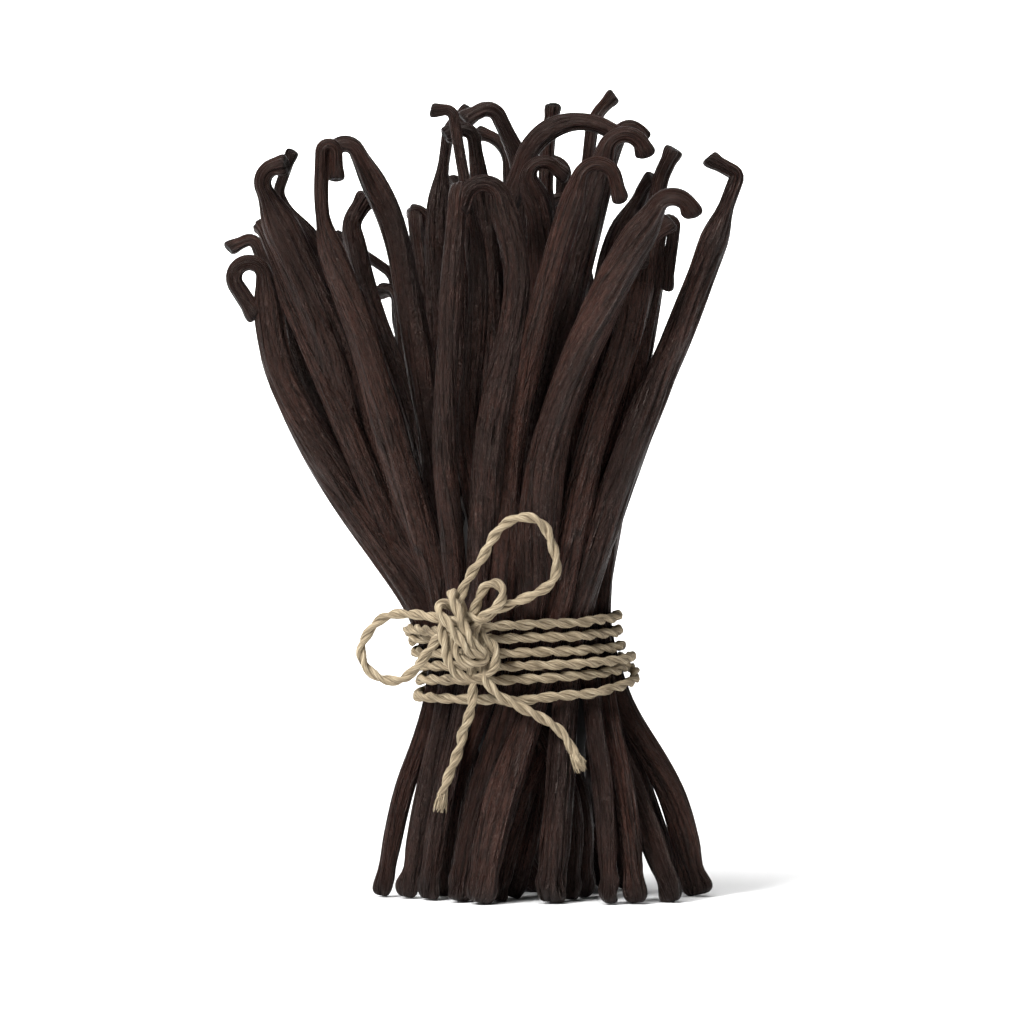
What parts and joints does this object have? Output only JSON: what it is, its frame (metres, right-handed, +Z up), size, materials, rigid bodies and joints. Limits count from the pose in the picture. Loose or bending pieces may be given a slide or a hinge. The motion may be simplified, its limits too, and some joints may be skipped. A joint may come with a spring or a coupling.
{
  "type": "bundle of vanilla pods",
  "caption": "Upright sheaf of dried vanilla pods tied at the waist with natural twine in a bow, spread at the top and standing on its cut feet.",
  "frame": {"origin": "on the floor, under the middle of the pods' bounding box", "axes": "+Z up along the standing bundle; -Y is the front, where the knot and bow are; +X is to the right as seen from the front"},
  "size_m": [0.1162, 0.0614, 0.1817],
  "materials": {
    "cured_pods": "cured vanilla pod skin, dark brown, wrinkled along its length, slightly oily",
    "twine": "undyed two-ply plant-fibre twine, matt and slightly hairy"
  },
  "bodies": {
    "root": {"pods": "cured_pods", "twine": "twine"}
  },
  "joints": []
}
